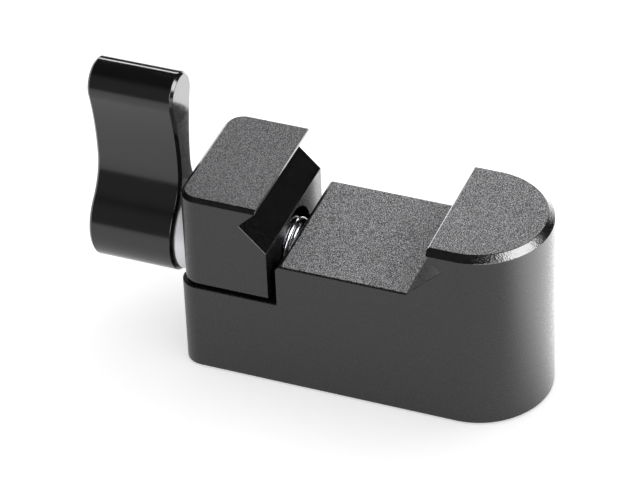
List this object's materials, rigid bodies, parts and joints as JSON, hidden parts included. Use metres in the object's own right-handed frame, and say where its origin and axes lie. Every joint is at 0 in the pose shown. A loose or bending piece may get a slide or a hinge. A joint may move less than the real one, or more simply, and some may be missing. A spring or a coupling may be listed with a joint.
{
  "type": "nato rail clamp",
  "caption": "Camera accessory clamp for a dovetail rail: a fixed and a sliding V jaw, closed by a screw with a wave-shaped wing lever.",
  "frame": {"origin": "on the flat back, at the mouth of the camera thread under the middle of the rail channel", "axes": "+X along the screw from the lever to the round end, +Y across the clamp along the rail, +Z from the flat back up to the jaws"},
  "size_m": [0.055, 0.0174, 0.0349],
  "materials": {
    "body_black": "milled, bead-blasted top faces, satin black anodised",
    "jaw_black": "milled, bead-blasted top face, satin black anodised",
    "lever_black": "glossy black anodised",
    "stainless": "bright turned",
    "spring_steel": "bright drawn wire",
    "black_steel": "black oxide"
  },
  "bodies": {
    "clamp_body": {"body": "body_black", "jaw_spring": "spring_steel"},
    "jaw_slider": {"moving_jaw": "jaw_black", "thrust_washer": "stainless"},
    "screw_unit": {"clamp_screw": "stainless", "lever_screw": "black_steel"},
    "lever_unit": {"lever": "lever_black", "lever_spring": "spring_steel"}
  },
  "joints": [
    {"name": "jaw_slide", "type": "slide", "parent": "clamp_body", "child": "jaw_slider", "axis": [1, 0, 0], "range_m": [-0.003, 0.00095], "deforming": ["jaw_spring"]},
    {"name": "screw_turn", "type": "hinge", "parent": "jaw_slider", "child": "screw_unit", "pos_m": [0, 0, 0.0136], "axis": [1, 0, 0], "range_deg": [-1350.5, 428]},
    {"name": "lever_pull", "type": "slide", "parent": "screw_unit", "child": "lever_unit", "axis": [-1, 0, 0], "range_m": [0, 0.0025], "stiffness_N_per_m": 800, "springref_m": -0.001, "deforming": ["lever_spring"]}
  ],
  "couplings": [
    {"joint": "screw_turn", "follows": "jaw_slide", "rad_per_m": 7854}
  ]
}
